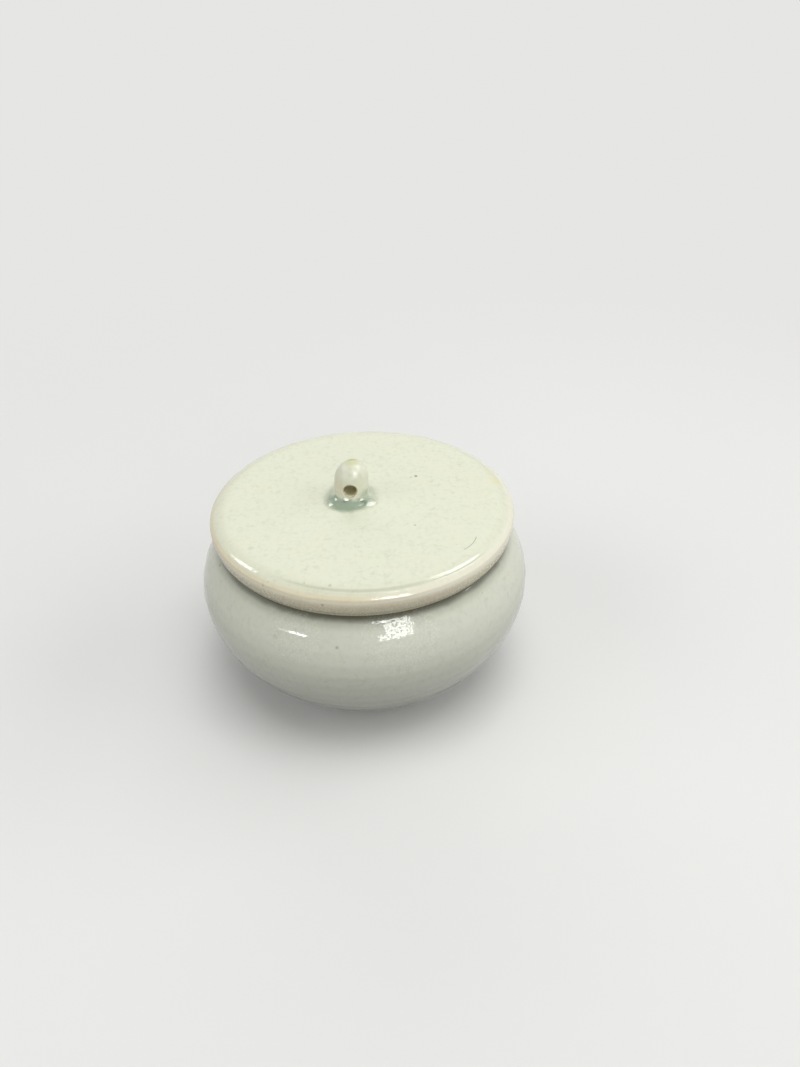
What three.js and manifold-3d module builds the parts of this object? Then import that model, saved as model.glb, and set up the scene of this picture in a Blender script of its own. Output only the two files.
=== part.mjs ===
// A small glazed jar with a flat lid, in millimetres, +Z up. The origin is the middle of the
// circle that the foot stands on. The jar and the lid are two fired pieces. The lid is three
// pieces of clay luted together: a disc, a ring under it that finds the mouth, and a pierced knob.

import * as THREE from 'three';
import * as BufferGeometryUtils from 'three/addons/utils/BufferGeometryUtils.js';
import Module from 'manifold-3d';

// Jar: the belly and the curves above and below its widest line.
const bellyRadius = 48;
const bellyHeight = 31;
const shoulderRise = 29;
const shoulderFullness = 2.03;
const lowerDrop = 36.2;
const lowerFullness = 1.91;

// Jar: wall and floor. The floor curve of the inside is flatter than the outside.
const wall = 3.6;
const floorThickness = 4;
const floorFullness = 2.6;

// Jar: the turned foot, a low ring with a recess inside it.
const footRadius = 26;
const footHeight = 2;
const footRingWidth = 4.5;
const footRecess = 1.6;
const footEdgeBreak = 0.5;

// Jar: the flat rim that ends the shoulder, with no neck. The lid lies on it.
const rimHeight = 47;
const rimWidth = 4.5;
const rimRound = 1.5;
const rimDepth = 1.6;
const rimUndercut = 1;

// Lid: a disc with a full round edge that overhangs the rim, hollowed a little underneath.
const lidOverhang = 2.7;
const lidThickness = 8.8;
const lidTopRoundWidth = 6.2;
const lidTopRoundHeight = 3.5;
const lidTopFullness = 2.2;
const lidUnderRoundWidth = 3.2;
const lidHollowDepth = 3.2;
const lidHollowRound = 5;
const lidHollowMargin = 0.5;

// Lid: the ring under the disc that keeps it in the mouth.
const flangeClearance = 0.8;
const flangeWall = 4;
const flangeDepth = 5;
const flangeEdgeRound = 0.9;

// Knob: a pinched lug a little off the middle of the lid, pierced from front to back.
const knobOffsetX = -3.25;
const knobOffsetY = 1.6;
const knobBaseRadius = 5.05;
const knobDomeRadius = 4.77;
const knobDomeHeight = 5.2;
const knobHeight = 11.2;
const knobLean = 0.085;
const knobFootWidth = 2;
const knobFootHeight = 1.3;
const knobHoleDiameter = 3.5;
const knobHoleHeight = 4.3;

// Steps round each turned form and along each curve.
const turnSteps = 56;
const knobTurnSteps = 32;
const holeSteps = 20;
const curveSteps = 10;
const roundSteps = 5;

const glazed = { color: 0xccd2bd, roughness: 0.16, metalness: 0 };
const lidGlazed = { color: 0xdde2ca, roughness: 0.2, metalness: 0 };
const bareClay = { color: 0xc9b596, roughness: 0.85, metalness: 0 };

const wasm = await Module();
wasm.setup();

function innerFloorHeight() {
  return footRecess + floorThickness;
}

function lidTopHeight() {
  return rimHeight + lidThickness;
}

// Radius of a swelling form at a height, where share is the distance from its widest
// line as a share of the distance to its pole.
function swell(radius, share, fullness) {
  return radius * Math.pow(1 - Math.pow(share, fullness), 1 / fullness);
}

function outerRadiusAt(height) {
  if (height >= bellyHeight) {
    return swell(bellyRadius, (height - bellyHeight) / shoulderRise, shoulderFullness);
  }
  return swell(bellyRadius, (bellyHeight - height) / lowerDrop, lowerFullness);
}

function innerRadiusAt(height) {
  if (height >= bellyHeight) {
    const rise = shoulderRise - wall;
    return swell(bellyRadius - wall, (height - bellyHeight) / rise, shoulderFullness);
  }
  const drop = bellyHeight - innerFloorHeight();
  return swell(bellyRadius - wall, (bellyHeight - height) / drop, floorFullness);
}

function rimRadius() {
  return outerRadiusAt(rimHeight);
}

function mouthRadius() {
  return rimRadius() - rimWidth;
}

function lidRadius() {
  return rimRadius() + lidOverhang;
}

function flangeOuterRadius() {
  return mouthRadius() - flangeClearance;
}

function flangeInnerRadius() {
  return flangeOuterRadius() - flangeWall;
}

function sample(from, to, steps, place) {
  const points = [];
  for (let i = 0; i <= steps; i += 1) {
    points.push(place(from + ((to - from) * i) / steps));
  }
  return points;
}

// Quarter round from one angle to another about a centre, with its own width and height.
function quarter(centreR, centreZ, width, height, fromTurn, toTurn, fullness = 2) {
  return sample(fromTurn, toTurn, roundSteps, (turn) => {
    const c = Math.cos(turn * Math.PI / 2);
    const s = Math.sin(turn * Math.PI / 2);
    const r = centreR + width * Math.sign(c) * Math.pow(Math.abs(c), 2 / fullness);
    const z = centreZ + height * Math.sign(s) * Math.pow(Math.abs(s), 2 / fullness);
    return new THREE.Vector2(r, z);
  });
}

// Turned solids are closed bodies: each outline starts and ends on the axis, or closes.
function turned(points, steps) {
  const outline = points.filter((point, i) => i === 0 || point.distanceTo(points[i - 1]) > 1e-4);
  return new THREE.LatheGeometry(outline, steps);
}

function toSolid(geometry) {
  const bare = geometry.clone();
  bare.deleteAttribute('normal');
  bare.deleteAttribute('uv');
  const merged = BufferGeometryUtils.mergeVertices(bare, 1e-4);
  return new wasm.Manifold(new wasm.Mesh({
    numProp: 3,
    vertProperties: new Float32Array(merged.attributes.position.array),
    triVerts: new Uint32Array(merged.index.array),
  }));
}

function toGeometry(solid) {
  const mesh = solid.getMesh();
  const geometry = new THREE.BufferGeometry();
  geometry.setAttribute('position', new THREE.BufferAttribute(mesh.vertProperties, 3));
  geometry.setIndex(new THREE.BufferAttribute(mesh.triVerts, 1));
  geometry.computeVertexNormals();
  return geometry;
}

// LatheGeometry turns its outline about Y, so each turned piece is stood up to turn about Z.
function standUp(geometry) {
  return geometry.rotateX(Math.PI / 2);
}

function piece(name, geometry, finish) {
  const mesh = new THREE.Mesh(geometry, new THREE.MeshStandardMaterial(finish));
  mesh.name = name;
  return mesh;
}

function jarOutline() {
  const ringInner = footRadius - footRingWidth;
  const shoulderTop = rimHeight - rimRound;
  const foot = [
    new THREE.Vector2(0, footRecess),
    new THREE.Vector2(ringInner, footRecess),
    new THREE.Vector2(ringInner + footEdgeBreak, 0),
    new THREE.Vector2(footRadius - footEdgeBreak, 0),
    new THREE.Vector2(footRadius, footEdgeBreak),
    new THREE.Vector2(footRadius, footHeight),
  ];
  const outside = [
    ...sample(footHeight, bellyHeight, curveSteps, (z) => new THREE.Vector2(outerRadiusAt(z), z)),
    ...sample(bellyHeight, shoulderTop, curveSteps, (z) => new THREE.Vector2(outerRadiusAt(z), z)),
  ];
  // The shoulder rounds over into the flat of the rim.
  const rimEdge = new THREE.QuadraticBezierCurve(
    new THREE.Vector2(outerRadiusAt(shoulderTop), shoulderTop),
    new THREE.Vector2(rimRadius(), rimHeight),
    new THREE.Vector2(rimRadius() - rimRound, rimHeight),
  );
  const rim = [
    ...rimEdge.getPoints(roundSteps),
    new THREE.Vector2(mouthRadius(), rimHeight),
    new THREE.Vector2(mouthRadius(), rimHeight - rimDepth),
  ];
  // The inside is followed by height under the rim, then by angle to the middle of the floor.
  const upper = sample(rimHeight - rimDepth - rimUndercut, bellyHeight, curveSteps,
    (z) => new THREE.Vector2(innerRadiusAt(z), z));
  const drop = bellyHeight - innerFloorHeight();
  const lower = sample(0, 1, curveSteps + 2, (turn) => {
    const share = Math.sin(turn * Math.PI / 2);
    const depth = drop * Math.pow(share, 2 / floorFullness);
    return new THREE.Vector2(innerRadiusAt(bellyHeight - depth), bellyHeight - depth);
  });
  lower[lower.length - 1].set(0, innerFloorHeight());
  return [...foot, ...outside, ...rim, ...upper, ...lower];
}

function lidOutline() {
  const top = lidTopHeight();
  const under = rimHeight;
  const hollowRadius = flangeInnerRadius() - lidHollowMargin;
  const underRoundHeight = lidThickness - lidTopRoundHeight;
  return [
    new THREE.Vector2(0, under + lidHollowDepth),
    ...quarter(hollowRadius - lidHollowRound, under, lidHollowRound, lidHollowDepth, 1, 0),
    ...quarter(lidRadius() - lidUnderRoundWidth, under + underRoundHeight,
      lidUnderRoundWidth, underRoundHeight, -1, 0),
    ...quarter(lidRadius() - lidTopRoundWidth, top - lidTopRoundHeight,
      lidTopRoundWidth, lidTopRoundHeight, 0, 1, lidTopFullness),
    new THREE.Vector2(0, top),
  ];
}

function flangeOutline() {
  const outer = flangeOuterRadius();
  const inner = flangeInnerRadius();
  const top = rimHeight;
  const bottom = top - flangeDepth;
  return [
    new THREE.Vector2(inner, top),
    ...quarter(inner + flangeEdgeRound, bottom + flangeEdgeRound,
      -flangeEdgeRound, -flangeEdgeRound, 0, 1),
    ...quarter(outer - flangeEdgeRound, bottom + flangeEdgeRound,
      flangeEdgeRound, flangeEdgeRound, -1, 0),
    new THREE.Vector2(outer, top),
    new THREE.Vector2(inner, top),
  ];
}

// The lug leans to one side as it rises. The hole goes straight through, over its foot.
function knobSolid() {
  const top = lidTopHeight();
  const domeFoot = top + knobHeight - knobDomeHeight;
  const footRadiusOfKnob = knobBaseRadius + knobFootWidth;
  const outline = [
    new THREE.Vector2(0, top),
    ...quarter(footRadiusOfKnob, top + knobFootHeight, -knobFootWidth, -knobFootHeight, 1, 0),
    ...quarter(0, domeFoot, knobDomeRadius, knobDomeHeight, 0, 1),
  ];
  outline[outline.length - 1].x = 0;
  const lean = new THREE.Matrix4().set(
    1, 0, knobLean, -knobLean * top,
    0, 1, 0, 0,
    0, 0, 1, 0,
    0, 0, 0, 1,
  );
  const lug = toSolid(standUp(turned(outline, knobTurnSteps)).applyMatrix4(lean));
  const reach = 4 * footRadiusOfKnob;
  const drill = new THREE.CylinderGeometry(
    knobHoleDiameter / 2, knobHoleDiameter / 2, reach, holeSteps);
  drill.translate(0, 0, top + knobHoleHeight);
  return toGeometry(lug.subtract(toSolid(drill)));
}

const jar = new THREE.Group();
jar.add(piece('jar_body', standUp(turned(jarOutline(), turnSteps)), glazed));

const lid = new THREE.Group();
lid.add(piece('lid_plate', standUp(turned(lidOutline(), turnSteps)), lidGlazed));
lid.add(piece('lid_flange', standUp(turned(flangeOutline(), turnSteps)), bareClay));

const knob = piece('lid_knob', knobSolid(), lidGlazed);
knob.position.set(knobOffsetX, knobOffsetY, 0);
lid.add(knob);

const liddedJar = new THREE.Group();
liddedJar.add(jar, lid);

export default liddedJar;
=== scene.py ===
"""A small squat jar under a pale celadon glaze, with a thick flat lid and a pierced knob."""

import logging
import math
from dataclasses import dataclass
from enum import Enum
from functools import cached_property
from typing import Callable, Iterable, Sequence

import bmesh
import bpy
from mathutils import Matrix, Vector, noise


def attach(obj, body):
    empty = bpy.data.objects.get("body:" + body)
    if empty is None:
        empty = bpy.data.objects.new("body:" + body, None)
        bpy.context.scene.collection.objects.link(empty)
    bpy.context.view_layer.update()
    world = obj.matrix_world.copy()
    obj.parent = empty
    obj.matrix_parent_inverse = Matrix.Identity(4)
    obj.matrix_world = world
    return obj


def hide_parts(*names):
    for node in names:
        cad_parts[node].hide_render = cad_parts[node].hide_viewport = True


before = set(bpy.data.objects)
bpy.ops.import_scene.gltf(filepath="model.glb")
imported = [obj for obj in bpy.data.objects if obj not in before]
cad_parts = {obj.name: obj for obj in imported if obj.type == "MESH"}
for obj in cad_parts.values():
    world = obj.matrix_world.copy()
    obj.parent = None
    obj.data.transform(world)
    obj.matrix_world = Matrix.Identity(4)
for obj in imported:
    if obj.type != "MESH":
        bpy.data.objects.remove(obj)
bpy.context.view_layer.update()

MM = 0.001

Colour = tuple[float, float, float, float]
Outline = list[tuple[float, float]]
Piece = bpy.types.Object
Tree = bpy.types.NodeTree
Socket = bpy.types.NodeSocket

log = logging.getLogger("lidded_jar")


class Slot(Enum):
    """The record's material slots."""

    JAR_GLAZE = "jar_glaze"
    LID_GLAZE = "lid_glaze"
    KNOB_GLAZE = "knob_glaze"
    BARE_CLAY = "bare_clay"


def srgb(red: int, green: int, blue: int) -> Colour:
    """Turn a screen colour into the linear colour that a shader takes.

    Args:
        red: Red, 0 to 255.
        green: Green, 0 to 255.
        blue: Blue, 0 to 255.

    Returns:
        Linear red, green, blue and full opacity.
    """

    def linear(level: int) -> float:
        """Undo the screen's curve for one channel."""
        share = level / 255
        return share / 12.92 if share <= 0.04045 else ((share + 0.055) / 1.055) ** 2.4

    return (linear(red), linear(green), linear(blue), 1.0)


def swell(radius: float, share: float, fullness: float) -> float:
    """Give the radius of a swelling form.

    Args:
        radius: Radius at the widest line.
        share: Distance from the widest line, as a share of the distance to the pole.
        fullness: 2 for an ellipse, more for a squarer curve.

    Returns:
        The radius there, in the unit of ``radius``.
    """
    return radius * (1 - min(1.0, share) ** fullness) ** (1 / fullness)


def between(low: float, high: float, steps: int) -> list[float]:
    """List evenly spaced values, both ends included."""
    return [low + (high - low) * i / steps for i in range(steps + 1)]


def smooth_step(value: float, low: float, high: float) -> float:
    """Give a soft step from 0 at ``low`` to 1 at ``high``, which may lie either way round."""
    share = min(1.0, max(0.0, (value - low) / (high - low)))
    return share * share * (3 - 2 * share)


@dataclass(frozen=True)
class Round:
    """A quarter round of an outline, about a centre.

    Attributes:
        r: Centre's radius, mm.
        z: Centre's height, mm.
        width: Reach sideways, mm; negative towards the axis.
        height: Reach up, mm; negative downwards.
        fullness: 2 for an ellipse, more for a squarer round.
    """

    r: float
    z: float
    width: float
    height: float
    fullness: float = 2.0

    def points(self, start: float, end: float, steps: int = 10) -> Outline:
        """Follow the round from one quarter-turn share to another.

        Args:
            start: 0 at the side, 1 at the top.
            end: The same, where the round ends.
            steps: Number of stretches.

        Returns:
            Radius and height pairs, mm.
        """
        found = []
        for share in between(start, end, steps):
            c = abs(math.cos(share * math.pi / 2)) ** (2 / self.fullness)
            s = abs(math.sin(share * math.pi / 2)) ** (2 / self.fullness)
            found.append((self.r + self.width * c, self.z + self.height * s))
        return found


def turned(name: str, outline: Outline, steps: int) -> Piece:
    """Spin an outline about the jar's axis, as on a wheel.

    Args:
        name: Name of the new piece.
        outline: Radius and height pairs in mm, from axis to axis or closed on itself.
        steps: Facets round the turn.

    Returns:
        The new piece, smooth and closed.
    """
    bm = bmesh.new()
    verts: list[bmesh.types.BMVert] = []
    for r, z in outline:
        place = Vector((max(r, 0.0) * MM, 0, z * MM))
        if not verts or (place - verts[-1].co).length > 1e-7:
            verts.append(bm.verts.new(place))
    edges = [bm.edges.new(pair) for pair in zip(verts, verts[1:])]
    bmesh.ops.spin(bm, geom=verts + edges, cent=(0, 0, 0), axis=(0, 0, 1), dvec=(0, 0, 0),
                   angle=2 * math.pi, steps=steps, use_merge=True, use_duplicate=False)
    bmesh.ops.remove_doubles(bm, verts=bm.verts[:], dist=2e-6)
    bmesh.ops.recalc_face_normals(bm, faces=bm.faces[:])
    return finished(name, bm)


def finished(name: str, bm: bmesh.types.BMesh, sharp: float = 50) -> Piece:
    """Turn a bmesh into a smooth piece that stands in the scene.

    Args:
        name: Name of the new piece.
        bm: Its mesh, freed here.
        sharp: Degrees past which an edge stays sharp.

    Returns:
        The new piece.
    """
    mesh = bpy.data.meshes.new(name)
    bm.to_mesh(mesh)
    bm.free()
    mesh.polygons.foreach_set("use_smooth", [True] * len(mesh.polygons))
    mesh.set_sharp_from_angle(angle=math.radians(sharp))
    piece = bpy.data.objects.new(name, mesh)
    bpy.context.scene.collection.objects.link(piece)
    return piece


def reshape(piece: Piece, move: Callable[[Vector], Vector]) -> None:
    """Move every vertex of a piece by one rule.

    Args:
        piece: The piece to shape.
        move: Gives a vertex's new place from its old one, both in mm.
    """
    for vert in piece.data.vertices:
        vert.co = move(vert.co / MM) * MM
    piece.data.update()


def applied(piece: Piece) -> None:
    """Make a piece's modifiers part of its mesh.

    Args:
        piece: The piece, which keeps no modifier and no material.
    """
    bpy.context.view_layer.update()
    seen = piece.evaluated_get(bpy.context.evaluated_depsgraph_get())
    mesh = bpy.data.meshes.new_from_object(seen)
    piece.modifiers.clear()
    mesh.materials.clear()
    mesh.polygons.foreach_set("material_index", [0] * len(mesh.polygons))
    mesh.polygons.foreach_set("use_smooth", [True] * len(mesh.polygons))
    piece.data = mesh


class Shader:
    """A small bench for wiring one material or node group."""

    def __init__(self, tree: Tree) -> None:
        """Take the node tree to work in."""
        self.tree = tree

    @cached_property
    def place(self) -> Socket:
        """The object coordinates."""
        return self.node("ShaderNodeTexCoord").outputs["Object"]

    def node(self, kind: str, inputs: dict | None = None, **settings) -> bpy.types.Node:
        """Add a node, set it and plug it in.

        Args:
            kind: Blender's name of the node type.
            inputs: Socket name or number to a value or to another node's socket.
            settings: Attributes of the node.

        Returns:
            The new node.
        """
        made = self.tree.nodes.new(kind)
        for key, value in settings.items():
            setattr(made, key, value)
        for key, value in (inputs or {}).items():
            if isinstance(value, Socket):
                self.tree.links.new(value, made.inputs[key])
            else:
                made.inputs[key].default_value = value
        return made

    def math(self, operation: str, first: Socket | float, second: Socket | float = 0.0,
             third: Socket | float = 0.0) -> Socket:
        """Combine numbers that change over the surface, by Blender's name of the sum."""
        inputs = {0: first, 1: second, 2: third}
        return self.node("ShaderNodeMath", inputs, operation=operation).outputs[0]

    def times(self, product: Socket | float, *others: Socket | float) -> Socket:
        """Multiply numbers.

        Args:
            product: The first number.
            others: The numbers to multiply it by.

        Returns:
            The product's socket.
        """
        for other in others:
            product = self.math("MULTIPLY", product, other)
        return product

    def scaled(self, value: Socket, by: Socket | float, plus: Socket | float) -> Socket:
        """Multiply a number and add another."""
        return self.math("MULTIPLY_ADD", value, by, plus)

    def uneven(self, value: Socket, noise: Socket, swing: float) -> Socket:
        """Add noise to a number, up to half a swing either way."""
        return self.math("ADD", value, self.scaled(noise, swing, -swing / 2))

    def axis(self, index: int) -> Socket:
        """Give one object coordinate in millimetres, 0 for X to 2 for Z."""
        split = self.node("ShaderNodeSeparateXYZ", {0: self.place})
        return self.times(split.outputs[index], 1 / MM)

    def vector(self, operation: str, first: Socket, second: Sequence[float] | Socket) -> Socket:
        """Combine two vectors, component by component."""
        made = self.node("ShaderNodeVectorMath", {0: first, 1: second}, operation=operation)
        return made.outputs["Vector"]

    def fade(self, value: Socket, low: float, high: float) -> Socket:
        """Give a soft step from 0 at ``low`` to 1 at ``high``, which may lie either way round."""
        made = self.node("ShaderNodeMapRange", {0: value, 1: low, 2: high},
                         interpolation_type="SMOOTHSTEP")
        return made.outputs[0]

    def noise(self, scale: float, detail: float = 2.0, rough: float = 0.5) -> Socket:
        """Give soft noise from 0 to 1, at ``scale`` patches a metre."""
        made = self.node("ShaderNodeTexNoise", {"Vector": self.place, "Scale": scale,
                                                "Detail": detail, "Roughness": rough})
        return made.outputs[0]

    def mix(self, share: Socket | float, first: Socket | Colour,
            second: Socket | Colour) -> Socket:
        """Mix two colours.

        Args:
            share: 0 for the first, 1 for the second; a value or socket.
            first: A colour or socket.
            second: A colour or socket.

        Returns:
            The mixed colour's socket.
        """
        made = self.node("ShaderNodeMix", data_type="RGBA")
        for index, value in ((0, share), (6, first), (7, second)):
            if isinstance(value, Socket):
                self.tree.links.new(value, made.inputs[index])
            else:
                made.inputs[index].default_value = value
        return made.outputs[2]

    def tint(self, colour: Socket, mask: Socket, share: float, tone: Colour) -> Socket:
        """Lay a tone over a colour where a mask says, at a share of its strength."""
        return self.mix(self.times(mask, share), colour, tone)

    def reach(self, spot: Sequence[float], along: Sequence[float] = (1, 1, 1)) -> Socket:
        """Give the distance from a spot in millimetres.

        Args:
            spot: The spot, mm.
            along: 1 for each axis that counts, 0 for one that doesn't.

        Returns:
            The distance's socket.
        """
        apart = self.vector("SUBTRACT", self.place, Vector(spot) * MM)
        scaled = self.vector("MULTIPLY", apart, Vector(along) / MM)
        made = self.node("ShaderNodeVectorMath", {0: scaled}, operation="LENGTH")
        return made.outputs["Value"]


# A wire gives a mask or a number. A paint takes a colour and gives it back painted on.
Wire = Callable[[Shader], Socket]
Paint = Callable[[Shader, Socket], Socket]


class Coat(Shader):
    """The bench of a new material, with its surface shader."""

    def __init__(self, name: str) -> None:
        """Start a material.

        Args:
            name: The material's name.
        """
        self.material = bpy.data.materials.new(name)
        self.material.use_nodes = True
        super().__init__(self.material.node_tree)
        self.skin = self.tree.nodes["Principled BSDF"]

    def feed(self, socket: str, value: Socket) -> None:
        """Plug a value that changes over the surface into the shader."""
        self.tree.links.new(value, self.skin.inputs[socket])

    def bump(self, height: Socket, strength: float, depth: float) -> None:
        """Raise the surface by a height, at a strength and to a depth in millimetres."""
        relief = self.node("ShaderNodeBump", {"Height": height, "Strength": strength,
                                              "Distance": depth * MM})
        self.feed("Normal", relief.outputs["Normal"])


def celadon_group() -> Tree:
    """Build the glaze's shared effect: clouding, milky grains, pinholes, matt pits and peel.

    Returns:
        A group that takes three colours and gives a colour, a roughness and a height.
    """
    group = bpy.data.node_groups.new("celadon_depth", "ShaderNodeTree")
    for way, kind, names in (("INPUT", "NodeSocketColor", ("Thin", "Usual", "Pooled")),
                             ("INPUT", "NodeSocketFloat", ("Depth", "Polish", "Pitted")),
                             ("OUTPUT", "NodeSocketColor", ("Color",)),
                             ("OUTPUT", "NodeSocketFloat", ("Roughness", "Height"))):
        for name in names:
            group.interface.new_socket(name, in_out=way, socket_type=kind)
    bench = Shader(group)
    taken = bench.node("NodeGroupInput").outputs

    blotch = bench.noise(210, 3, 0.6)
    grain = bench.noise(1300, 3, 0.6)
    depth = taken["Depth"]
    for cloud, swing in ((bench.noise(60, 3), 0.30), (blotch, 0.26), (grain, 0.20)):
        depth = bench.uneven(depth, cloud, swing)
    colour = bench.mix(bench.fade(depth, 0.0, 0.5), taken["Thin"], taken["Usual"])
    colour = bench.mix(bench.fade(depth, 0.5, 1.0), colour, taken["Pooled"])

    # Milky grains with clearer glaze between them, gathered in soft patches.
    patches = bench.fade(bench.noise(240, 2), 0.35, 0.75)
    clear = bench.fade(bench.noise(760, 3, 0.62), 0.43, 0.74)
    clear = bench.times(clear, bench.scaled(patches, 0.20, 0.10))
    colour = bench.mix(clear, colour, srgb(176, 180, 144))

    # Every cell could hold a pinhole; its own random shade says which few do.
    cells = bench.node("ShaderNodeTexVoronoi", {"Vector": bench.place, "Scale": 330})
    shade = bench.node("ShaderNodeSeparateColor", {0: cells.outputs["Color"]}).outputs[0]
    pits = bench.times(bench.fade(cells.outputs["Distance"], 0.10, 0.03),
                       bench.fade(shade, 0.80, 0.95))
    colour = bench.tint(colour, pits, 0.45, srgb(150, 146, 118))

    # Tiny matt pits, under a millimetre apart, break up what the gloss mirrors.
    tiny = bench.node("ShaderNodeTexVoronoi", {"Vector": bench.place, "Scale": 1550})
    matt = bench.fade(bench.scaled(grain, 0.6, tiny.outputs["Distance"]), 0.76, 0.64)
    rough = bench.scaled(grain, 0.06, taken["Polish"])
    rough = bench.scaled(matt, taken["Pitted"], rough)
    peel = bench.scaled(bench.noise(1300, 1, 0.4), 0.5, bench.noise(620, 1.5, 0.4))
    height = bench.scaled(blotch, 0.9, peel)
    height = bench.scaled(pits, -0.8, height)
    bench.node("NodeGroupOutput", {"Color": colour, "Roughness": rough, "Height": height})
    return group


POOL_GREEN = srgb(147, 163, 142)


@dataclass(frozen=True)
class Mark:
    """A small fired-in speck.

    Attributes:
        place: Its place on the surface, mm.
        radius: Radius, mm.
        strength: 0 to 1.
        soft: Width of its soft edge, mm.
        colour: Its colour, linear.
    """

    place: tuple[float, float, float]
    radius: float
    strength: float
    soft: float = 0.35
    colour: Colour = srgb(96, 88, 62)


@dataclass(frozen=True)
class Glaze:
    """A pale celadon over buff stoneware.

    Attributes:
        name: The material's name.
        thin: Colour where the glaze runs thin and the clay shows.
        usual: Colour of the plain surface.
        pooled: Colour where it lies deep.
        polish: Roughness of the gloss.
        peel: Strength of its orange peel.
        peel_depth: Depth of its orange peel, mm.
        ior: Its index of refraction.
        pitted: Roughness of its tiny matt pits.
        marks: Specks in it.
    """

    name: str
    thin: Colour
    usual: Colour
    pooled: Colour
    polish: float = 0.07
    peel: float = 0.30
    peel_depth: float = 0.12
    ior: float = 1.55
    pitted: float = 0.05
    marks: tuple[Mark, ...] = ()

    def make(self, group: Tree, depth: Wire, extra: Paint | None = None,
             shine: Wire | None = None, pits: Wire | None = None) -> bpy.types.Material:
        """Build the material.

        Args:
            group: The shared glaze effect.
            depth: Wires how deep the glaze lies, 0 thin, 0.5 usual, 1 pooled.
            extra: Wires what else colours the surface.
            shine: Wires the gloss's roughness, where it changes over the surface.
            pits: Wires the roughness of the tiny matt pits, where it changes.

        Returns:
            The material.
        """
        bench = Coat(self.name)
        effect = bench.node("ShaderNodeGroup", node_tree=group)
        for socket, value in (("Thin", self.thin), ("Usual", self.usual),
                              ("Pooled", self.pooled), ("Polish", self.polish),
                              ("Pitted", self.pitted)):
            effect.inputs[socket].default_value = value
        for socket, wire in (("Depth", depth), ("Polish", shine), ("Pitted", pits)):
            if wire:
                bench.tree.links.new(wire(bench), effect.inputs[socket])
        colour = effect.outputs["Color"]
        for mark in self.marks:
            away = bench.reach(mark.place)
            seen = bench.fade(away, mark.radius + mark.soft, mark.radius - mark.soft * 0.4)
            colour = bench.tint(colour, seen, mark.strength, mark.colour)
        if extra:
            colour = extra(bench, colour)
        bench.feed("Base Color", colour)
        bench.feed("Roughness", effect.outputs["Roughness"])
        bench.bump(effect.outputs["Height"], self.peel, self.peel_depth)
        bench.skin.inputs["IOR"].default_value = self.ior
        return bench.material


@dataclass(frozen=True)
class BareClay:
    """Unglazed buff stoneware, as on a foot ring and a seat.

    Attributes:
        name: The material's name.
        pale: The lighter clay.
        burnt: The toasted clay.
        grit: The darkest grains.
        tooth: Strength of its sandy feel.
        tooth_depth: Depth of its sandy feel, mm.
        roughness: How matt it is.
    """

    name: str = "bare_buff_clay"
    pale: Colour = srgb(208, 188, 156)
    burnt: Colour = srgb(170, 128, 88)
    grit: Colour = srgb(124, 94, 66)
    tooth: float = 0.5
    tooth_depth: float = 0.2
    roughness: float = 0.85

    def make(self, extra: Paint | None = None) -> bpy.types.Material:
        """Build the material.

        Args:
            extra: Wires what else colours the clay.

        Returns:
            The material.
        """
        bench = Coat(self.name)
        cloud = bench.noise(90, 4, 0.6)
        sand = bench.noise(2600, 3, 0.7)
        colour = bench.mix(bench.fade(cloud, 0.40, 0.80), self.pale, self.burnt)
        colour = bench.mix(bench.fade(sand, 0.60, 0.80), colour, self.grit)
        if extra:
            colour = extra(bench, colour)
        bench.feed("Base Color", colour)
        bench.bump(sand, self.tooth, self.tooth_depth)
        bench.skin.inputs["Roughness"].default_value = self.roughness
        return bench.material


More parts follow.
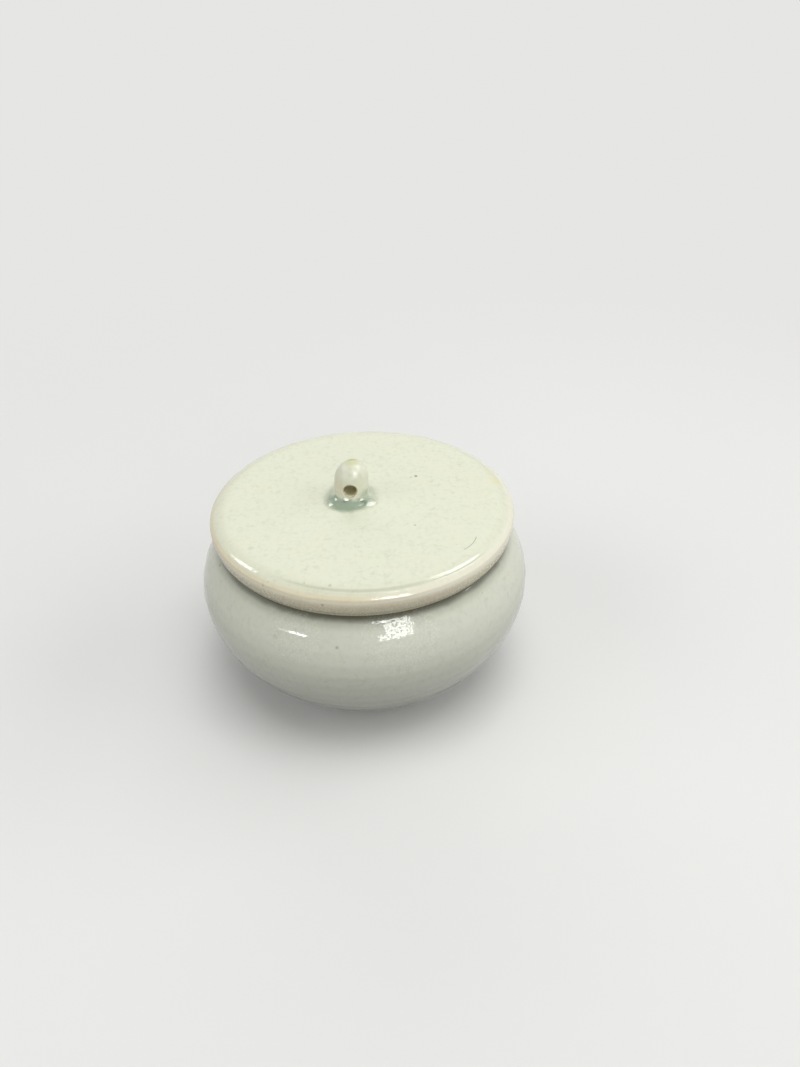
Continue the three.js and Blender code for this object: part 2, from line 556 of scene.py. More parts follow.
@dataclass
class Jar:
    """The thrown jar: belly, flat rim, hollow inside and turned foot, mm."""

    belly_radius: float = 48.0
    belly_height: float = 31.0
    shoulder_rise: float = 29.0
    shoulder_fullness: float = 2.03
    lower_drop: float = 36.2
    lower_fullness: float = 1.91
    wall: float = 3.6
    floor_fullness: float = 2.6
    floor_height: float = 5.6
    foot_radius: float = 26.0
    foot_height: float = 2.0
    foot_ring: float = 4.5
    foot_recess: float = 1.6
    rim_height: float = 47.0
    rim_width: float = 4.5
    rim_round: float = 1.5
    rim_depth: float = 1.6
    rim_undercut: float = 1.0
    wobble: float = 0.35
    throwing_ridge: float = 0.035
    throwing_pitch: float = 3.4
    # Strength of the shade painted into the seam under the lid.
    seam_shade_share: float = 0.72
    steps: int = 192

    def outer(self, z: float) -> float:
        """Give the outside radius at a height.

        Args:
            z: The height, mm.

        Returns:
            The radius, mm.
        """
        if z >= self.belly_height:
            share = (z - self.belly_height) / self.shoulder_rise
            return swell(self.belly_radius, share, self.shoulder_fullness)
        share = (self.belly_height - z) / self.lower_drop
        return swell(self.belly_radius, share, self.lower_fullness)

    def inner(self, z: float) -> float:
        """Give the inside radius at a height.

        Args:
            z: The height, mm.

        Returns:
            The radius, mm.
        """
        full = self.belly_radius - self.wall
        if z >= self.belly_height:
            share = (z - self.belly_height) / (self.shoulder_rise - self.wall)
            return swell(full, share, self.shoulder_fullness)
        share = (self.belly_height - z) / (self.belly_height - self.floor_height)
        return swell(full, share, self.floor_fullness)

    @property
    def rim_radius(self) -> float:
        """Radius at which the shoulder would meet the flat of the rim."""
        return self.outer(self.rim_height)

    @property
    def mouth_radius(self) -> float:
        """Radius of the mouth."""
        return self.rim_radius - self.rim_width

    def outline(self) -> Outline:
        """Follow the jar's section from the middle of the foot to the middle of the floor.

        Returns:
            Radius and height pairs, mm.
        """
        ring_in = self.foot_radius - self.foot_ring
        shoulder_top = self.rim_height - self.rim_round
        foot = [(0, self.foot_recess), (ring_in * 0.5, self.foot_recess),
                (ring_in - 0.3, self.foot_recess), (ring_in + 0.1, self.foot_recess - 0.4),
                (ring_in + 0.4, 0.2), (ring_in + 0.9, 0), (self.foot_radius - 1.0, 0),
                (self.foot_radius - 0.3, 0.25), (self.foot_radius, 0.9),
                (self.foot_radius, self.foot_height - 0.4),
                (self.foot_radius + 0.5, self.foot_height)]
        outside = [(self.outer(z), z)
                   for z in between(self.foot_height + 0.2, shoulder_top, 120)]
        start = Vector((self.outer(shoulder_top), shoulder_top))
        corner = Vector((self.rim_radius, self.rim_height))
        end = corner - Vector((self.rim_round, 0))
        edge = [tuple(start.lerp(corner, t).lerp(corner.lerp(end, t), t))
                for t in between(0, 1, 8)[1:]]
        mouth = self.mouth_radius
        inner_edge = [(mouth + 0.6, self.rim_height),
                      *Round(mouth + 0.6, self.rim_height - 0.6, -0.6, 0.6).points(1, 0, 5),
                      (mouth, self.rim_height - self.rim_depth)]
        under = self.rim_height - self.rim_depth - self.rim_undercut
        upper = [(self.inner(z), z) for z in between(under, self.belly_height, 30)]
        drop = self.belly_height - self.floor_height
        lower = []
        for turn in between(0, 1, 30)[1:]:
            depth = drop * math.sin(turn * math.pi / 2) ** (2 / self.floor_fullness)
            lower.append((self.inner(self.belly_height - depth), self.belly_height - depth))
        lower[-1] = (0, self.floor_height)
        return [*foot, *outside, *edge, *inner_edge, *upper, *lower]

    def by_hand(self, at: Vector) -> Vector:
        """Give a point of the true form its place on the hand-thrown one.

        Args:
            at: The point, mm.

        Returns:
            The same point, drawn in a little by the wall's wobble and throwing ridges.
        """
        free = smooth_step(at.z, self.foot_height, self.foot_height + 10)
        free *= smooth_step(at.z, self.rim_height - 0.5, self.rim_height - 7)
        soft = 0.5 + 0.5 * noise.noise(Vector((at.x, at.y, at.z * 1.6)) * 0.03)
        turn = math.atan2(at.y, at.x)
        ridge = 0.5 + 0.5 * math.sin(2 * math.pi * at.z / self.throwing_pitch - turn)
        pull = free * (self.wobble * soft + self.throwing_ridge * ridge)
        out = math.hypot(at.x, at.y)
        if out < self.foot_radius:
            return at
        share = (out - pull) / out
        return Vector((at.x * share, at.y * share, at.z))

    def build(self) -> Piece:
        """Throw the jar.

        Returns:
            The jar, which stands for the solid jar_body.
        """
        jar = turned("jar_body_glazed", self.outline(), self.steps)
        reshape(jar, self.by_hand)
        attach(jar, "jar")
        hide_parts("jar_body")
        return jar

    def dress(self, jar: Piece, group: Tree) -> None:
        """Glaze the jar and leave its foot ring and rim bare.

        Args:
            jar: The thrown jar.
            group: The shared glaze effect.
        """
        glaze = Glaze("jar_celadon", thin=srgb(226, 217, 192), usual=srgb(219, 222, 205),
                      pooled=srgb(196, 207, 190), polish=0.03, peel=0.22, marks=(
                          Mark((-8.1, -44.6, 40.5), 0.28, 0.4),
                          Mark((-39.9, -14.0, 44.8), 0.22, 0.5),
                          Mark((-23.8, -38.9, 40.0), 0.5, 0.2, 0.5, srgb(150, 152, 124)),
                          Mark((20.0, -42.0, 36.0), 0.16, 0.3),
                      ))

        def depth(bench: Shader) -> Socket:
            """Let the glaze lie deeper towards the foot."""
            return bench.scaled(bench.fade(bench.axis(2), 24, 3), 0.30, 0.5)

        def seam_shade(bench: Shader, colour: Socket) -> Socket:
            """Paint shade into the seam under the lid's edge: a wide soft band and a dark line.

            Args:
                bench: The material's bench.
                colour: The glaze's colour.

            Returns:
                The colour with the painted seam shade.
            """
            # Painted shade: the lid's shadow on the shoulder and the dark crevice under its edge,
            # laid into the colour.
            level = bench.uneven(bench.axis(2), bench.noise(260, 2), 0.6)
            wide, narrow = bench.fade(level, 43.4, 46.0), bench.fade(level, 45.1, 46.3)
            colour = bench.tint(colour, wide, self.seam_shade_share * 0.55, srgb(132, 136, 116))
            return bench.tint(colour, narrow, self.seam_shade_share, srgb(94, 96, 78))

        def pits(bench: Shader) -> Socket:
            """Set the pits closest in two patches on the front of the shoulder.

            Args:
                bench: The material's bench.

            Returns:
                The roughness of the pits.
            """
            middle = bench.fade(bench.reach((8.0, -43.0, 41.5)), 12, 7)
            left = bench.fade(bench.reach((-18.5, -40.2, 41.0)), 8, 5)
            return bench.scaled(bench.math("MAXIMUM", middle, left), 0.60, 0.03)

        jar.data.materials.append(glaze.make(group, depth, seam_shade, pits=pits))
        jar.data.materials.append(BareClay().make())
        for face in jar.data.polygons:
            middle = face.center / MM
            out = math.hypot(middle.x, middle.y)
            on_foot = middle.z < 0.7 and out > self.foot_radius - self.foot_ring
            on_rim = middle.z > self.rim_height - 0.05
            face.material_index = int(on_foot or on_rim)


@dataclass
class Lid:
    """The thick disc with its full round edge, and the ring under it, mm."""

    radius: float = 43.04
    under: float = 47.0
    thickness: float = 8.8
    top_round_width: float = 6.2
    top_round_height: float = 3.5
    top_fullness: float = 2.2
    under_round_width: float = 3.2
    hollow_depth: float = 3.2
    hollow_round: float = 5.0
    hollow_margin: float = 0.5
    flange_outer: float = 35.04
    flange_wall: float = 4.0
    flange_depth: float = 5.0
    flange_round: float = 0.9
    tool_line_radius: float = 40.7
    tool_line_shift: float = 0.4
    tool_line_depth: float = 0.13
    tool_line_width: float = 0.42
    tool_line_start: float = -126
    tool_line_end: float = -30
    burr_width: float = 0.30
    burr_height: float = 0.14
    arris_height: float = 53.7
    arris_width: float = 0.32
    arris_reach: float = 0.14
    arris_soft: float = 0.08
    uneven_top: float = 0.16
    trim_ridge: float = 0.10
    trim_pitch: float = 1.8
    steps: int = 256

    @property
    def top(self) -> float:
        """Height of the lid's flat top."""
        return self.under + self.thickness

    @property
    def widest(self) -> float:
        """Height of the lid's widest line."""
        return self.top - self.top_round_height

    def by_hand(self, at: Vector) -> Vector:
        """Give a point of the true disc its place on the hand-made one.

        Args:
            at: The point, mm.

        Returns:
            The same point with the marks of the trimming tool and a slightly uneven top.
        """
        out = math.hypot(at.x, at.y)
        if at.z > self.widest:
            away = math.hypot(at.x - self.tool_line_shift, at.y) - self.tool_line_radius
            turn = math.degrees(math.atan2(at.y, at.x))
            seen = smooth_step(turn, self.tool_line_start, self.tool_line_start + 20)
            seen *= smooth_step(turn, self.tool_line_end, self.tool_line_end - 25)
            line = self.tool_line_depth * math.exp(-(away / self.tool_line_width) ** 2)
            burr = away - self.tool_line_width - self.burr_width * 0.6
            line -= self.burr_height * math.exp(-(burr / self.burr_width) ** 2)
            uneven = self.uneven_top * (0.5 + 0.5 * noise.noise(at * 0.045))
            uneven *= smooth_step(at.z, self.widest, self.top)
            apart = math.hypot(at.z - self.arris_height, self.arris_soft)
            share = 1 + self.arris_reach * math.exp(-apart / self.arris_width) / max(out, 1.0)
            return Vector((at.x * share, at.y * share, at.z - line * seen - uneven))
        side = smooth_step(at.z, self.under + 0.3, self.under + 1.2)
        side *= smooth_step(at.z, self.widest, self.widest - 1.0) * smooth_step(out, 38, 40)
        ridge = 0.5 + 0.5 * math.cos(2 * math.pi * (at.z - self.under) / self.trim_pitch)
        share = 1 - side * self.trim_ridge * ridge / max(out, 1.0)
        return Vector((at.x * share, at.y * share, at.z))

    def build_plate(self) -> Piece:
        """Turn the disc.

        Returns:
            The disc, which stands for the solid lid_plate.
        """
        under_round = self.thickness - self.top_round_height
        hollow_radius = self.flange_outer - self.flange_wall - self.hollow_margin
        outline = [
            (0, self.under + self.hollow_depth),
            *[(r, self.under + self.hollow_depth) for r in between(6, 22, 4)],
            *Round(hollow_radius - self.hollow_round, self.under, self.hollow_round,
                   self.hollow_depth).points(1, 0, 10),
            (self.flange_outer, self.under),
            *Round(self.radius - self.under_round_width, self.under + under_round,
                   self.under_round_width, -under_round).points(1, 0, 28),
            *Round(self.radius - self.top_round_width, self.widest, self.top_round_width,
                   self.top_round_height, self.top_fullness).points(0, 1, 44),
            *[(r, self.top) for r in between(36, 2, 24)],
            (0, self.top),
        ]
        plate = turned("lid_plate_glazed", outline, self.steps)
        reshape(plate, self.by_hand)
        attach(plate, "lid")
        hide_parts("lid_plate")
        return plate

    def build_flange(self) -> Piece:
        """Turn the ring under the disc.

        Returns:
            The ring, which stands for the solid lid_flange.
        """
        inner = self.flange_outer - self.flange_wall
        low = self.under - self.flange_depth + self.flange_round
        outline = [
            (inner, self.under),
            *Round(inner + self.flange_round, low, -self.flange_round,
                   -self.flange_round).points(0, 1),
            *Round(self.flange_outer - self.flange_round, low, self.flange_round,
                   -self.flange_round).points(1, 0),
            (self.flange_outer, self.under),
            (inner, self.under),
        ]
        flange = turned("lid_flange_ring", outline, self.steps)
        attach(flange, "lid_carrier")
        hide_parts("lid_flange")
        return flange

    def dress(self, plate: Piece, flange: Piece, pool: "Pool", group: Tree) -> None:
        """Glaze the disc, and leave its underside and the ring bare.

        Args:
            plate: The disc.
            flange: The ring under it.
            pool: The pool of glaze round the knob's foot.
            group: The shared glaze effect.
        """
        top = self.top

        def depth(bench: Shader) -> Socket:
            """Thin the glaze over the edge and pool it round the knob.

            Args:
                bench: The material's bench.

            Returns:
                The glaze's depth, 0 thin, 0.5 usual, 1 pooled.
            """
            level = bench.uneven(bench.axis(2), bench.noise(90, 2), 0.9)
            edge = bench.fade(level, top - 0.6, top - 2.4)
            low = bench.fade(level, self.widest - 0.6, self.widest - 2.6)
            thin = bench.times(edge, bench.scaled(low, -0.45, 1.0))
            deep = bench.scaled(thin, -0.44, 0.46)
            return bench.scaled(pool.mask(bench), 0.56, deep)

        def details(bench: Shader, colour: Socket) -> Socket:
            """Add toasted tone, painted shade and light to the edge, the tool line and one
            fired-in hair line.

            Args:
                bench: The material's bench.
                colour: The glaze's colour.

            Returns:
                The colour with these marks on it.
            """
            up = bench.axis(2)
            side = bench.times(bench.fade(up, top - 1.2, top - 2.4),
                               bench.fade(bench.noise(110, 2), 0.42, 0.66))
            colour = bench.tint(colour, side, 0.35, srgb(236, 217, 190))
            # Painted shade and a painted highlight round the edge, from the top down: faint shade
            # just under the flat top, darker shade where the round turns, a pale highlight band
            # lower on the round, and shade on the underside below the widest line.
            for start, full, end, gone, share, tone in (
                    (0.05, 0.5, 1.4, 2.2, 0.14, srgb(198, 192, 160)),
                    (1.2, 1.7, 2.0, 2.6, 0.22, srgb(200, 188, 156)),
                    (2.4, 3.0, 3.3, 4.2, 0.50, srgb(255, 250, 226)),
                    (4.6, 5.8, 9.0, 9.1, 0.26, srgb(164, 160, 132))):
                painted_light_band = bench.times(bench.fade(up, top - start, top - full),
                                   bench.fade(up, top - gone, top - end))
                colour = bench.tint(colour, painted_light_band, share, tone)
            # Painted sheen: a pale tone over the right-hand side of the edge's round, standing in
            # for the highlights there.
            aside = bench.axis(0)
            right = bench.times(bench.fade(aside, -4, 20), bench.fade(up, top - 4.4, top - 2.6),
                                bench.fade(up, top - 0.4, top - 1.6))
            colour = bench.tint(colour, right, 0.5, srgb(244, 245, 230))
            away = bench.reach((self.tool_line_shift, 0, 0), (1, 1, 0))
            line = bench.math("ABSOLUTE", bench.math("SUBTRACT", away, self.tool_line_radius))
            line = bench.times(bench.fade(line, 0.8, 0.1), bench.fade(bench.axis(1), -22, -36),
                               bench.fade(aside, -27, -12), bench.fade(up, top - 1.6, top - 1.0))
            colour = bench.tint(colour, line, 0.34, srgb(150, 152, 124))
            ring = bench.math("SUBTRACT", bench.reach((20.6, -19.0, 0), (1, 1, 0)), 9.2)
            line = bench.fade(bench.math("ABSOLUTE", ring), 0.16, 0.04)
            part = bench.fade(bench.reach((27.9, -24.4, top)), 3.6, 3.0)
            return bench.tint(colour, bench.times(line, part), 0.6, srgb(120, 116, 92))

        def shine(bench: Shader) -> Socket:
            """Keep the top glossier than the edge."""
            up = bench.axis(2)
            return bench.scaled(bench.fade(up, top - 2.2, top - 3.4), 0.13, 0.08)

        glaze = Glaze("lid_celadon", thin=srgb(240, 231, 200), usual=srgb(227, 230, 208),
                      pooled=POOL_GREEN, marks=(
                          Mark((16.1, 10.5, top), 0.34, 0.75),
                          Mark((14.6, 10.0, top), 0.16, 0.45),
                          Mark((13.8, -14.8, top), 0.2, 0.4),
                          Mark((-10.9, -41.6, 52.1), 0.26, 0.5),
                          Mark((-25.7, -34.3, 53.2), 0.22, 0.3),
                          Mark((-8.9, -38.4, 55.5), 0.3, 0.25),
                          Mark((-29.6, -21.6, top), 0.6, 0.16, 0.6, srgb(160, 162, 132)),
                          Mark((-36.6, -3.5, top), 0.5, 0.14, 0.5, srgb(160, 162, 132)),
                          Mark((39.8, 6.6, top - 0.3), 1.7, 0.32, 1.7, srgb(232, 220, 146)),
                          Mark((38.6, 12.4, top - 0.2), 1.4, 0.22, 1.6, srgb(232, 222, 158)),
                      ))
        plate.data.materials.append(glaze.make(group, depth, details, shine))
        plate.data.materials.append(BareClay("bare_seat_clay").make())
        highest = (self.under + self.hollow_depth + 0.1) * MM
        for face in plate.data.polygons:
            face.material_index = int(face.normal.z < -0.5 and face.center.z < highest)
        flange.data.materials.append(BareClay("bare_ring_clay").make())


@dataclass(frozen=True)
class Bead:
    """A drop of glaze at the knob's foot, mm.

    Attributes:
        x: Its place from the knob's middle.
        y: The same, towards the back.
        up: Height of its middle above the lid.
        wide: Half its width.
        deep: Half its depth.
        tall: Half its height.
        turn: Its turn about the upright, degrees.
    """

    x: float
    y: float
    up: float
    wide: float
    deep: float
    tall: float
    turn: float = 0.0


@dataclass(frozen=True)
class Roll:
    """A thick front edge of the pooled glaze, mm.

    Attributes:
        x: Its place from the knob's middle.
        y: The same, towards the back.
        wide: Half its width.
        front: How far its foot lies in front of its place.
        back: How far it thins out behind its place.
        tall: Its height.
        turn: Its turn about the upright, degrees.
    """

    x: float
    y: float
    wide: float
    front: float
    back: float
    tall: float
    turn: float = 0.0

    def height(self, x: float, y: float, way: Vector) -> float:
        """Give its height at a place.

        Args:
            x: The place from the knob's middle.
            y: The same, towards the back.
            way: The direction that its front faces.

        Returns:
            Height above the lid, 0 outside it.
        """
        away = Vector((x - self.x, y - self.y, 0))
        aside = away @ Matrix.Rotation(math.radians(self.turn), 3, "Z")
        body = self.tall * smooth_step(abs(aside.x), self.wide, self.wide * 0.3)
        body *= smooth_step(aside.y, self.back, 0)
        level = Vector((way.x, way.y, 0))
        ahead = away.dot(level.normalized())
        return min(body, max(0.0, self.front - ahead) * level.length / way.z)


@dataclass
class Pool:
    """The blue-green pool of glaze that ran round the knob's foot, mm."""

    x: float = -3.25
    y: float = 1.6
    top: float = 55.8
    radius: float = 7.0
    reach: float = 2.6
    collar: float = 5.0
    collar_height: float = 1.3
    collar_curve: float = 1.25
    skin: float = 0.02
    edge_drop: float = 0.28
    sunk: float = 0.6
    rolls: tuple[Roll, ...] = (
        Roll(-5.64, -4.5, 1.15, 0.78, 2.6, 0.75),
        Roll(5.4, -4.95, 2.0, 0.97, 3.4, 0.95, 20),
    )
    beads: tuple[Bead, ...] = (
        Bead(-1.2, -4.8, 1.55, 1.0, 0.6, 0.55, 8),
        Bead(3.1, -4.4, 1.05, 0.9, 0.5, 0.45, 20),
    )
    slumped: tuple[float, float, float] = (0.134, -0.806, 0.576)
    slump_start: float = 0.7
    slump_share: float = 0.9

    def spread(self, turn: float) -> float:
        """Give the pool's radius in one direction, in radians from the +X side."""
        return self.radius * (1 + 0.07 * math.cos(turn * 2 - 0.4) + 0.05 * math.sin(3 * turn + 1.1)
                              + 0.03 * math.cos(5 * turn + 0.5))

    def mask(self, bench: Shader) -> Socket:
        """Wire where the glaze is pooled round the knob.

        Args:
            bench: The material's bench.

        Returns:
            1 in the pool, fading to 0 round it and up the knob.
        """
        away = bench.reach((self.x + 0.1, self.y - 0.5, 0), (1, 1, 0))
        away = bench.uneven(away, bench.noise(260, 3, 0.6), 2.6)
        near = bench.fade(away, self.radius + 3.2, self.radius - 1.6)
        front = bench.reach((self.x - 1.6, self.y - 5.6, 0), (1, 1, 0))
        deep = bench.scaled(bench.fade(front, 9.5, 2.5), 0.42, 0.58)
        level = bench.uneven(bench.axis(2), bench.noise(400, 2), 1.6)
        low = bench.fade(level, self.top + 2.6, self.top + 0.3)
        side = bench.fade(bench.axis(0), self.x + 1.5, self.x + 4.5)
        high = bench.times(bench.fade(level, self.top + 6.4, self.top + 2.0), side)
        low = bench.math("MAXIMUM", low, bench.times(high, 0.6))
        return bench.times(near, deep, low)

    def build(self) -> list[Piece]:
        """Make the pool, thickest against the knob and at its front edge, and the drops on it.

        Returns:
            Closed forms that sink a little into the lid.
        """
        base, film = self.top - self.sunk, self.top - self.skin
        edge = self.radius + self.reach
        outline = [(0, base), (edge, base)]
        for r in between(edge, self.radius, 12):
            outline.append((r, film - self.edge_drop * (r - self.radius) / self.reach))
        for r in between(self.radius, self.collar, 12)[1:]:
            rise = ((self.radius - r) / (self.radius - self.collar)) ** self.collar_curve
            outline.append((r, film + self.collar_height * rise))
        outline.append((0, self.top + self.collar_height))
        glaze = turned("pool", outline, 192)
        way = Vector(self.slumped)

        def run(at: Vector) -> Vector:
            """Spread the pool unevenly and raise its rolled edges.

            Args:
                at: A point of the round pool, mm.

            Returns:
                Its place in the pool as it ran, mm.
            """
            loose = smooth_step(math.hypot(at.x, at.y), self.collar, self.radius)
            share = 1 + loose * (self.spread(math.atan2(at.y, at.x)) / self.radius - 1)
            x, y = at.x * share, at.y * share
            up = max(roll.height(x, y, way) for roll in self.rolls)
            on_top = at.z > film - self.edge_drop - 0.01
            thick = max(at.z, self.top + up) if up > 0 and on_top else at.z
            return Vector((x + self.x, y + self.y, thick))

        reshape(glaze, run)
        return [glaze, *map(self.drop, self.beads)]

    def drop(self, bead: Bead) -> Piece:
        """Make one drop, slumped nearly flat in front.

        Args:
            bead: The drop's place and size.

        Returns:
            A closed form on the pool.
        """
        bm = bmesh.new()
        bmesh.ops.create_icosphere(bm, subdivisions=4, radius=MM)
        bmesh.ops.scale(bm, verts=bm.verts[:], vec=(bead.wide, bead.deep, bead.tall))
        bmesh.ops.rotate(bm, verts=bm.verts[:], cent=(0, 0, 0),
                         matrix=Matrix.Rotation(math.radians(bead.turn), 3, "Z"))
        way = Vector(self.slumped)
        face = self.slump_start * max(vert.co.dot(way) for vert in bm.verts)
        for vert in bm.verts:
            vert.co -= way * max(0.0, vert.co.dot(way) - face) * self.slump_share
        place = Vector((self.x + bead.x, self.y + bead.y, self.top + bead.up)) * MM
        bmesh.ops.translate(bm, verts=bm.verts[:], vec=place)
        return finished("drop", bm)


@dataclass
class Knob:
    """The pinched and pierced lug on the lid, mm."""

    x: float = -3.25
    y: float = 1.6
    top: float = 55.8
    base: float = 5.05
    dome: float = 4.77
    dome_height: float = 5.2
    height: float = 11.2
    lean: float = 0.085
    foot_width: float = 1.2
    foot_height: float = 1.1
    hole_radius: float = 1.75
    hole_height: float = 4.3
    awl_length: float = 30.0
    sunk: float = 0.3
    voxel: float = 0.13

    def build(self, pool: Pool) -> Piece:
        """Pinch the knob, run the pool round its foot and pierce it.

        Args:
            pool: The pool of glaze round its foot.

        Returns:
            The knob, which stands for the solid lid_knob.
        """
        dome_foot = self.top + self.height - self.dome_height
        foot = self.base + self.foot_width
        outline = [
            (0, self.top - self.sunk), (foot, self.top - self.sunk),
            *Round(foot, self.top + self.foot_height, -self.foot_width,
                   -self.foot_height).points(1, 0, 12),
            *Round(0, dome_foot, self.dome, self.dome_height).points(0, 1, 20),
        ]
        outline[-1] = (0, self.top + self.height)
        knob = turned("lid_knob_glazed", outline, 96)

        def pinch(at: Vector) -> Vector:
            """Lean the knob and leave its wall a little uneven.

            Args:
                at: A point of the turned knob, mm.

            Returns:
                Its place in the pinched knob, mm.
            """
            up = at.z - self.top
            uneven = 1 + 0.03 * noise.noise(at * 0.28) * smooth_step(up, 0.5, 3)
            return Vector((at.x * uneven + self.x + self.lean * max(up, 0),
                           at.y * uneven + self.y, at.z))

        reshape(knob, pinch)
        bm = bmesh.new()
        bmesh.ops.create_cone(bm, cap_ends=True, segments=48, radius1=self.hole_radius * MM,
                              radius2=self.hole_radius * MM, depth=self.awl_length * MM)
        bmesh.ops.rotate(bm, verts=bm.verts[:], cent=(0, 0, 0),
                         matrix=Matrix.Rotation(math.pi / 2, 3, "X"))
        middle = Vector((self.x, self.y, self.top + self.hole_height))
        bmesh.ops.translate(bm, verts=bm.verts[:], vec=middle * MM)
        awl = finished("awl", bm)
        glaze = pool.build()
        for tool in (*glaze, awl):
            cut = knob.modifiers.new(tool.name, "BOOLEAN")
            cut.operation = "DIFFERENCE" if tool is awl else "UNION"
            cut.solver = "MANIFOLD"
            cut.object = tool
        clay = knob.modifiers.new("soft_clay", "REMESH")
        clay.mode = "VOXEL"
        clay.voxel_size = self.voxel * MM
        smooth = knob.modifiers.new("glaze_softened", "SMOOTH")
        smooth.factor = 0.5
        smooth.iterations = 3
        applied(knob)
        for tool in (*glaze, awl):
            bpy.data.objects.remove(tool)
        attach(knob, "lid")
        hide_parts("lid_knob")
        return knob

    def dress(self, knob: Piece, pool: Pool, group: Tree) -> None:
        """Glaze the knob, blue-green at its foot and brown in its hole.

        Args:
            knob: The pierced knob.
            pool: The pool of glaze round its foot.
            group: The shared glaze effect.
        """
        top = self.top

        def depth(bench: Shader) -> Socket:
            """Pool the glaze at the foot."""
            return bench.scaled(pool.mask(bench), 0.56, 0.46)

        def shine(bench: Shader) -> Socket:
            """Keep the glaze clearest in the front of the pool, and satin elsewhere.

            Args:
                bench: The material's bench.

            Returns:
                The gloss's roughness.
            """
            high = bench.fade(bench.axis(2), top + 2.4, top + 3.8)
            behind = bench.fade(bench.axis(1), self.y - 3.4, self.y - 1.4)
            return bench.scaled(bench.math("MAXIMUM", high, behind), 0.27, 0.01)

        def details(bench: Shader, colour: Socket) -> Socket:
            """Add the bead on top, the buff patch and the toasted edge of the hole.

            Args:
                bench: The material's bench.
                colour: The glaze's colour.

            Returns:
                The colour with these marks on it.
            """
            for x, y, low, radius, share, tone in (
                    (0.8, -0.2, 0.0, 2.5, 0.55, srgb(198, 202, 136)),
                    (0.9, 1.5, 0.5, 1.9, 0.50, srgb(150, 156, 96))):
                spot = (self.x + x, self.y + y, top + self.height - low)
                bead = bench.fade(bench.reach(spot), radius, radius * 0.4)
                colour = bench.tint(colour, bead, share, tone)
            patch = bench.reach((self.x - 3.4, self.y - 3.2, top + 5.0))
            colour = bench.tint(colour, bench.fade(patch, 2.8, 0.8), 0.28, srgb(222, 202, 172))
            hole = bench.reach((self.x, 0, top + self.hole_height), (1, 0, 1))
            return bench.mix(bench.fade(hole, self.hole_radius + 0.4, self.hole_radius + 0.05),
                             colour, srgb(156, 148, 112))

        def lit_bore_floor(bench: Shader, colour: Socket) -> Socket:
            """Paint light on the bottom of the hole, paler where light reaches into it."""
            low = bench.reach((self.x - 0.9, 0, top + self.hole_height - 2.0), (1, 0, 1))
            # Painted light: the bore's lower side is tinted pale.
            return bench.tint(colour, bench.fade(low, 2.9, 0.9), 0.8, srgb(226, 222, 188))

        glaze = Glaze("knob_celadon", thin=srgb(229, 220, 190), usual=srgb(224, 225, 204),
                      pooled=POOL_GREEN, peel=0.13)
        bare = BareClay("bare_hole_clay", srgb(206, 196, 158), srgb(150, 138, 98),
                        srgb(96, 86, 56))
        knob.data.materials.append(glaze.make(group, depth, details, shine))
        knob.data.materials.append(bare.make(lit_bore_floor))
        for face in knob.data.polygons:
            at = face.center / MM
            off = math.hypot(at.x - self.x, at.z - self.top - self.hole_height)
            inside = off < self.hole_radius + 0.12 and abs(face.normal.y) < 0.75
            face.material_index = int(inside)


class Shown(Enum):
    """What a lamp shows in."""

    LIGHT = "light alone"
    GLOSS = "gloss alone"


@dataclass(frozen=True)
class Lamp:
    """A soft studio lamp.

    Attributes:
        name: The lamp's name.
        azimuth: Its direction from the jar, degrees from +X towards +Y.
        height: Its height above the horizon, degrees.
        away: Its distance from the jar, metres.
        wide: Its width, metres.
        tall: Its height, metres.
        level: Light on a surface that faces it; 1 shows colours as they are written.
        shown: Whether it lights the jar or is mirrored in its gloss.
    """

    name: str
    azimuth: float
    height: float
    away: float
    wide: float
    tall: float
    level: float
    shown: Shown

    def hang(self, target: Vector) -> None:
        """Hang the lamp, facing a target.

        Args:
            target: The point that it faces, metres.
        """
        turn, lift = math.radians(self.azimuth), math.radians(self.height)
        way = Vector((math.cos(lift) * math.cos(turn), math.cos(lift) * math.sin(turn),
                      math.sin(lift)))
        data = bpy.data.lights.new(self.name, "AREA")
        data.shape = "RECTANGLE"
        data.size, data.size_y = self.wide, self.tall
        data.energy = self.level * (math.pi * self.away) ** 2
        made = bpy.data.objects.new(self.name, data)
        made.location = target + way * self.away
        made.rotation_euler = way.to_track_quat("Z", "Y").to_euler()
        made.visible_diffuse = self.shown is Shown.LIGHT
        made.visible_glossy = self.shown is Shown.GLOSS
        bpy.context.scene.collection.objects.link(made)


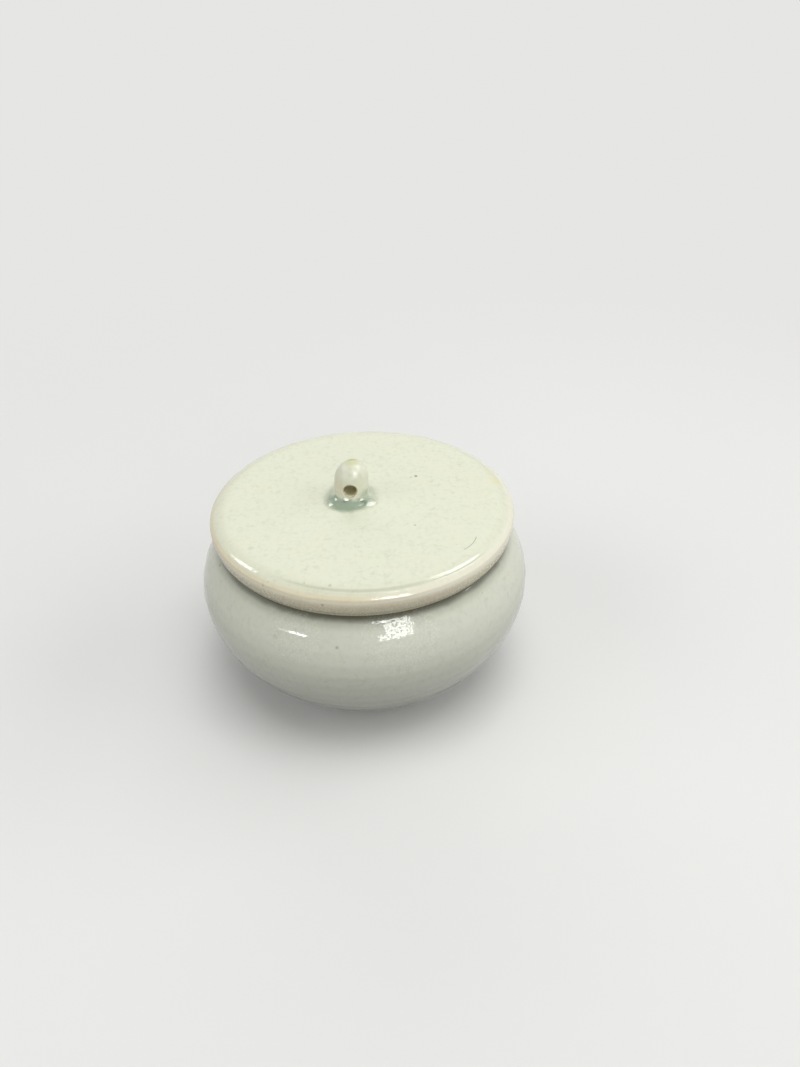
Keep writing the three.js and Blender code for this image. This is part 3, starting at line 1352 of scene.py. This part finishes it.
@dataclass
class Studio:
    """A pale floor, soft lamps and the camera."""

    camera_back: float = 0.18904
    camera_up: float = 0.17712
    pitch: float = 35.381
    yaw: float = -3.194
    roll: float = -0.912
    lens: float = 26.644
    target: tuple[float, float, float] = (0.0, 0.0, 0.035)
    floor_radius: float = 4.0
    fade_start: float = 130
    fade_end: float = 420
    ambient: float = 0.13
    pale: Colour = srgb(230, 230, 228)
    shade: Colour = srgb(86, 86, 89)
    lamps: tuple[Lamp, ...] = (
        Lamp("overhead", -50, 80, 1.65, 1.10, 1.10, 0.50, Shown.LIGHT),
        Lamp("back", 95, 24, 1.76, 1.70, 1.10, 0.24, Shown.LIGHT),
        Lamp("ceiling", 60, 62, 1.65, 1.10, 0.80, 0.08, Shown.LIGHT),
        Lamp("right", 2, 28, 1.76, 1.70, 1.10, 0.37, Shown.LIGHT),
        Lamp("right_front", -42, 22, 1.76, 1.70, 1.10, 0.14, Shown.LIGHT),
        Lamp("left", -165, 32, 1.76, 1.50, 1.10, 0.29, Shown.LIGHT),
        Lamp("front", -85, 14, 1.76, 1.70, 0.80, 0.18, Shown.LIGHT),
        Lamp("window", -68.5, 36, 1.54, 0.46, 0.98, 0.56, Shown.GLOSS),
        Lamp("window_upper_wing", -81.5, 47, 1.54, 0.18, 0.26, 0.058, Shown.GLOSS),
        Lamp("window_lower_wing", -80.5, 22, 1.54, 0.18, 0.26, 0.058, Shown.GLOSS),
        Lamp("left_slit", -144, 14, 1.65, 0.21, 0.05, 0.016, Shown.GLOSS),
        Lamp("left_pane", -135.5, 16, 1.65, 0.33, 0.09, 0.075, Shown.GLOSS),
        Lamp("right_window", 12, 55, 1.65, 0.50, 0.70, 0.33, Shown.GLOSS),
        Lamp("back_window", 154, 42, 1.65, 0.24, 0.40, 0.09, Shown.GLOSS),
    )

    def set_camera(self) -> None:
        """Stand the camera where the photograph was taken."""
        data = bpy.data.cameras.new("camera")
        data.lens = self.lens
        data.clip_start = 0.01
        camera = bpy.data.objects.new("camera", data)
        place = Vector((0, -self.camera_back, self.camera_up))
        camera.matrix_world = (
            Matrix.Translation(place)
            @ Matrix.Rotation(math.radians(self.yaw), 4, "Z")
            @ Matrix.Rotation(math.radians(90 - self.pitch), 4, "X")
            @ Matrix.Rotation(math.radians(self.roll), 4, "Z"))
        bpy.context.scene.collection.objects.link(camera)
        bpy.context.scene.camera = camera

    def set_stage(self) -> None:
        """Lay the floor, which far from the jar takes the backdrop's own paleness."""
        bm = bmesh.new()
        bmesh.ops.create_circle(bm, cap_ends=True, segments=64, radius=self.floor_radius)
        floor = finished("floor", bm, 180)
        bench = Coat("pale_floor")
        bench.skin.inputs["Roughness"].default_value = 0.9
        bench.skin.inputs["Specular IOR Level"].default_value = 0.0
        seen = self.seen(bench)
        bench.feed("Base Color", bench.mix(seen, self.shade, self.pale))
        glow = bench.node("ShaderNodeEmission", {"Color": self.pale, "Strength": 1.0})
        away = bench.reach((0, 0, 0), (1, 1, 0))
        far = bench.times(bench.fade(away, self.fade_start, self.fade_end), seen)
        blend = bench.node("ShaderNodeMixShader", {0: far, 1: bench.skin.outputs[0],
                                                   2: glow.outputs[0]})
        out = bench.tree.nodes["Material Output"]
        bench.tree.links.new(blend.outputs[0], out.inputs["Surface"])
        floor.data.materials.append(bench.material)

    def seen(self, bench: Shader) -> Socket:
        """Wire which rays see the backdrop.

        Args:
            bench: The bench of the floor or the world.

        Returns:
            1 for rays that see it, itself or mirrored, and 0 for others.
        """
        rays = bench.node("ShaderNodeLightPath").outputs
        mirrored = bench.math("MAXIMUM", rays["Is Glossy Ray"], rays["Is Transmission Ray"])
        return bench.math("MAXIMUM", rays["Is Camera Ray"], mirrored)

    def set_light(self) -> None:
        """Light the jar softly from overhead and the right, with windows round it."""
        world = bpy.data.worlds.new("room")
        bpy.context.scene.world = world
        world.use_nodes = True
        bench = Shader(world.node_tree)
        level = bench.scaled(self.seen(bench), 1 - self.ambient, self.ambient)
        colour = bench.mix(self.seen(bench), (1, 1, 1, 1), self.pale)
        ground = world.node_tree.nodes["Background"]
        bench.tree.links.new(colour, ground.inputs["Color"])
        bench.tree.links.new(level, ground.inputs["Strength"])
        for lamp in self.lamps:
            lamp.hang(Vector(self.target))
        bpy.context.scene.view_settings.view_transform = "Standard"


def main() -> None:
    """Build the jar and its lid in order, dress them and set the studio."""
    logging.basicConfig(level=logging.INFO, format="%(message)s")
    studio = Studio()
    studio.set_camera()
    group = celadon_group()

    jar = Jar()
    body = jar.build()
    jar.dress(body, group)
    pool = Pool()
    lid = Lid()
    plate, flange = lid.build_plate(), lid.build_flange()
    lid.dress(plate, flange, pool, group)
    lug = Knob()
    knob = lug.build(pool)
    lug.dress(knob, pool, group)
    for piece in (body, plate, flange, knob):
        log.info("%s: %d faces", piece.name, len(piece.data.polygons))

    studio.set_stage()
    studio.set_light()


if __name__ == "__main__":
    main()
